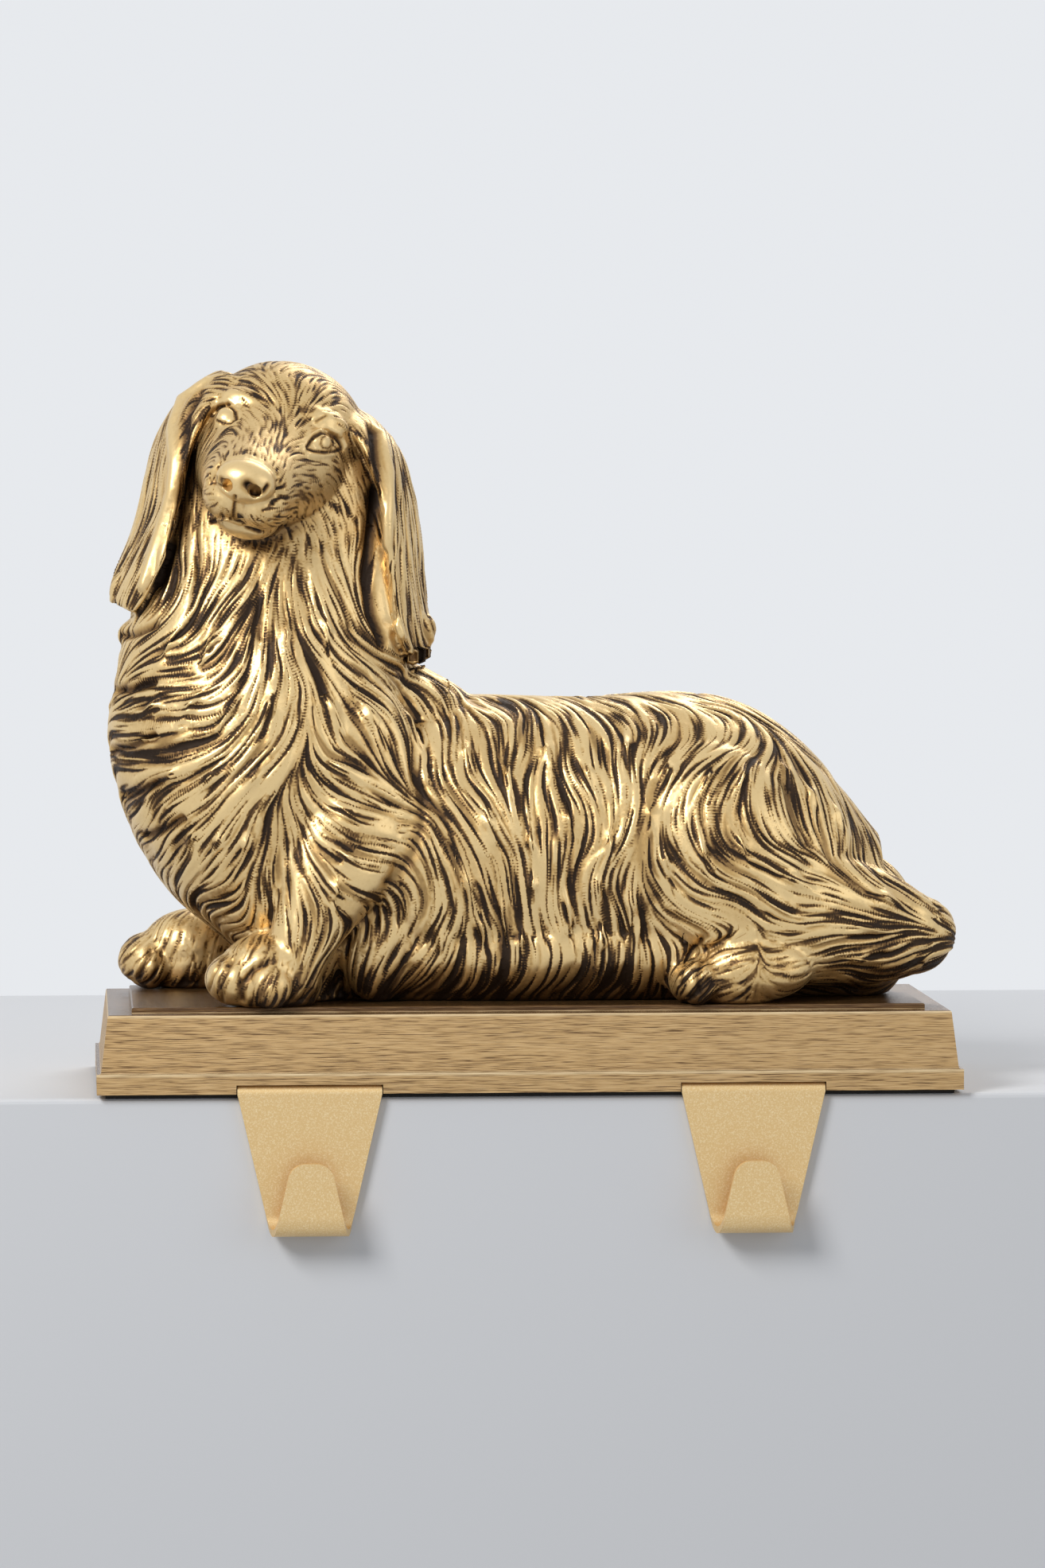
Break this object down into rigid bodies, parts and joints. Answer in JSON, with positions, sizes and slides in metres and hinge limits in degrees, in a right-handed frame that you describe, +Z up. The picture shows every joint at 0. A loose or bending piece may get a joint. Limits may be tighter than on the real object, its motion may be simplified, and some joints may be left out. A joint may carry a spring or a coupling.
{
  "type": "mantel stocking holder",
  "caption": "Mantel stocking holder: a cast long-haired dachshund lying on a moulded wooden plinth, with sheet hooks that drop from its front edge to carry stocking loops.",
  "frame": {"origin": "middle of the base pad's underside, where the holder rests on the mantel", "axes": "+X to the right along the mantel, -Y towards the room (the side the hooks face), +Z up"},
  "size_m": [0.2568, 0.112, 0.2554],
  "materials": {
    "antique_gold": "cast resin, antique gold with dark wash in the grooves",
    "gilt_wood": "gold paint over grained wood",
    "gold_paint": "satin gold paint with fine metallic flake",
    "felt": "black felt",
    "screw_steel": "zinc plated"
  },
  "bodies": {
    "root": {"figure": "antique_gold", "plinth": "gilt_wood", "left_hook": "gold_paint", "right_hook": "gold_paint", "base_pad": "felt", "hook_screws": "screw_steel", "figure_screws": "screw_steel"}
  },
  "joints": []
}
